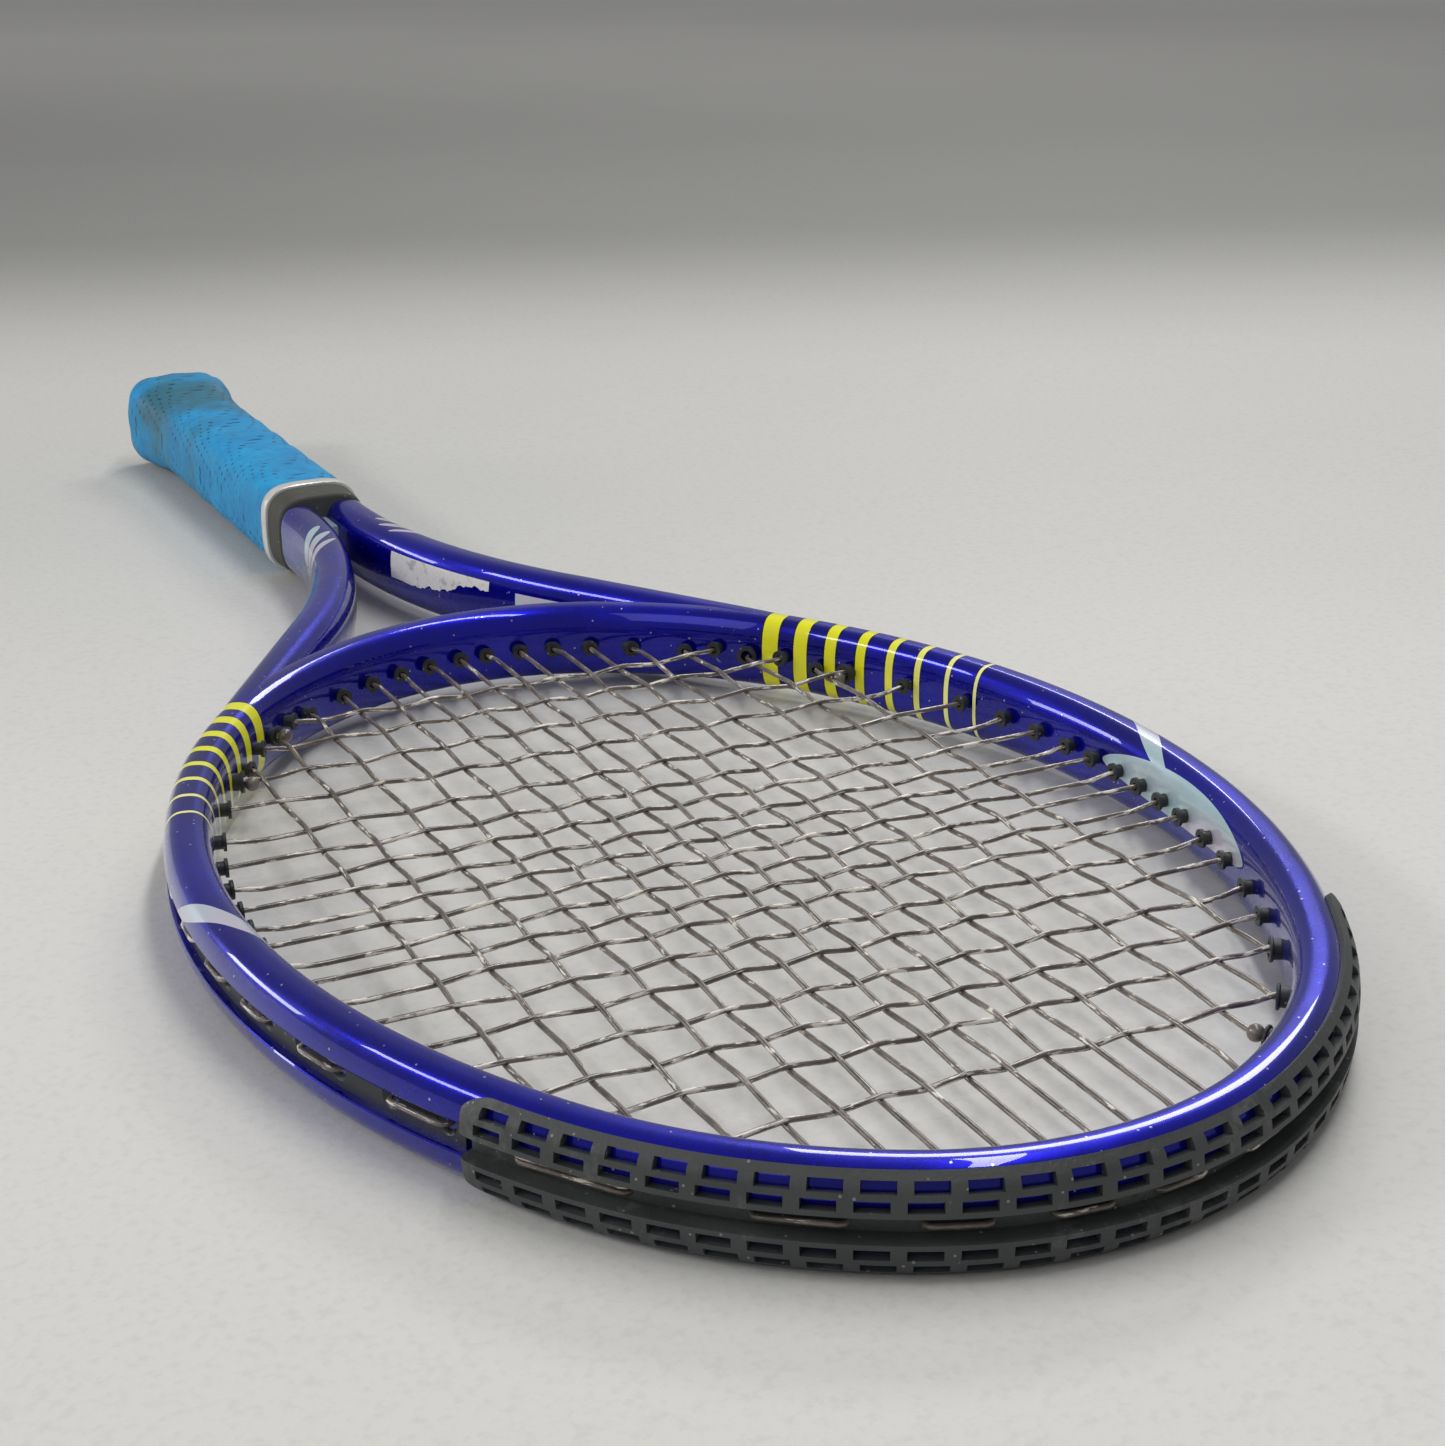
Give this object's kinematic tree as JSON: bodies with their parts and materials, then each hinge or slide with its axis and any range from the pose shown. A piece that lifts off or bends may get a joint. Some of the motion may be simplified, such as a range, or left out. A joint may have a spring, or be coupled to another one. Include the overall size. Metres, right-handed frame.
{
  "type": "tennis racket",
  "caption": "Strung adult tennis racket with an oval head, open throat, ribbed collar and wrapped octagonal handle with a flared butt.",
  "frame": {"origin": "middle of the butt's end face", "axes": "+Y from the butt to the tip, +Z square to the string bed, +X across the head"},
  "size_m": [0.2494, 0.6858, 0.0356],
  "materials": {
    "frame_paint": "deep metallic blue under gloss lacquer, over carbon fibre",
    "moulding_foam": "rigid moulding foam",
    "bumper_nylon": "charcoal nylon, scuffed",
    "grommet_nylon": "black nylon",
    "string": "grey-brown translucent monofilament",
    "cap_plastic": "moulded black plastic",
    "staple_wire": "bright wire",
    "grip_cushion": "cushioned synthetic leather",
    "overgrip_wrap": "turquoise perforated overgrip with overlapping turns",
    "finishing_tape": "silver-white tape",
    "collar_rubber": "grey ribbed rubber",
    "label_paper": "torn white paper label",
    "label_foil": "small pale foil label"
  },
  "bodies": {
    "racket": {"head_hoop": "frame_paint", "shoulder_right": "frame_paint", "shoulder_left": "frame_paint", "throat_arm_right": "frame_paint", "throat_arm_left": "frame_paint", "throat_bridge": "frame_paint", "bridge_core": "moulding_foam", "throat_web": "frame_paint", "bumper_guard": "bumper_nylon", "grommet_strip_right": "grommet_nylon", "grommet_strip_left": "grommet_nylon", "grommet_strip_throat": "grommet_nylon", "main_string": "string", "cross_string": "string", "string_knots": "string", "handle_pallet": "moulding_foam", "butt_cap": "cap_plastic", "butt_cap_staples": "staple_wire", "base_grip": "grip_cushion", "base_grip_staple": "staple_wire", "overgrip": "overgrip_wrap", "finishing_tape": "finishing_tape", "grip_collar": "collar_rubber", "price_label": "label_paper", "seal_label": "label_foil"},
    "butt_door": {"butt_cap_door": "cap_plastic"}
  },
  "joints": [
    {"name": "butt_door_pull", "type": "slide", "parent": "racket", "child": "butt_door", "axis": [0, -1, 0], "range_m": [0, 0.008]}
  ]
}
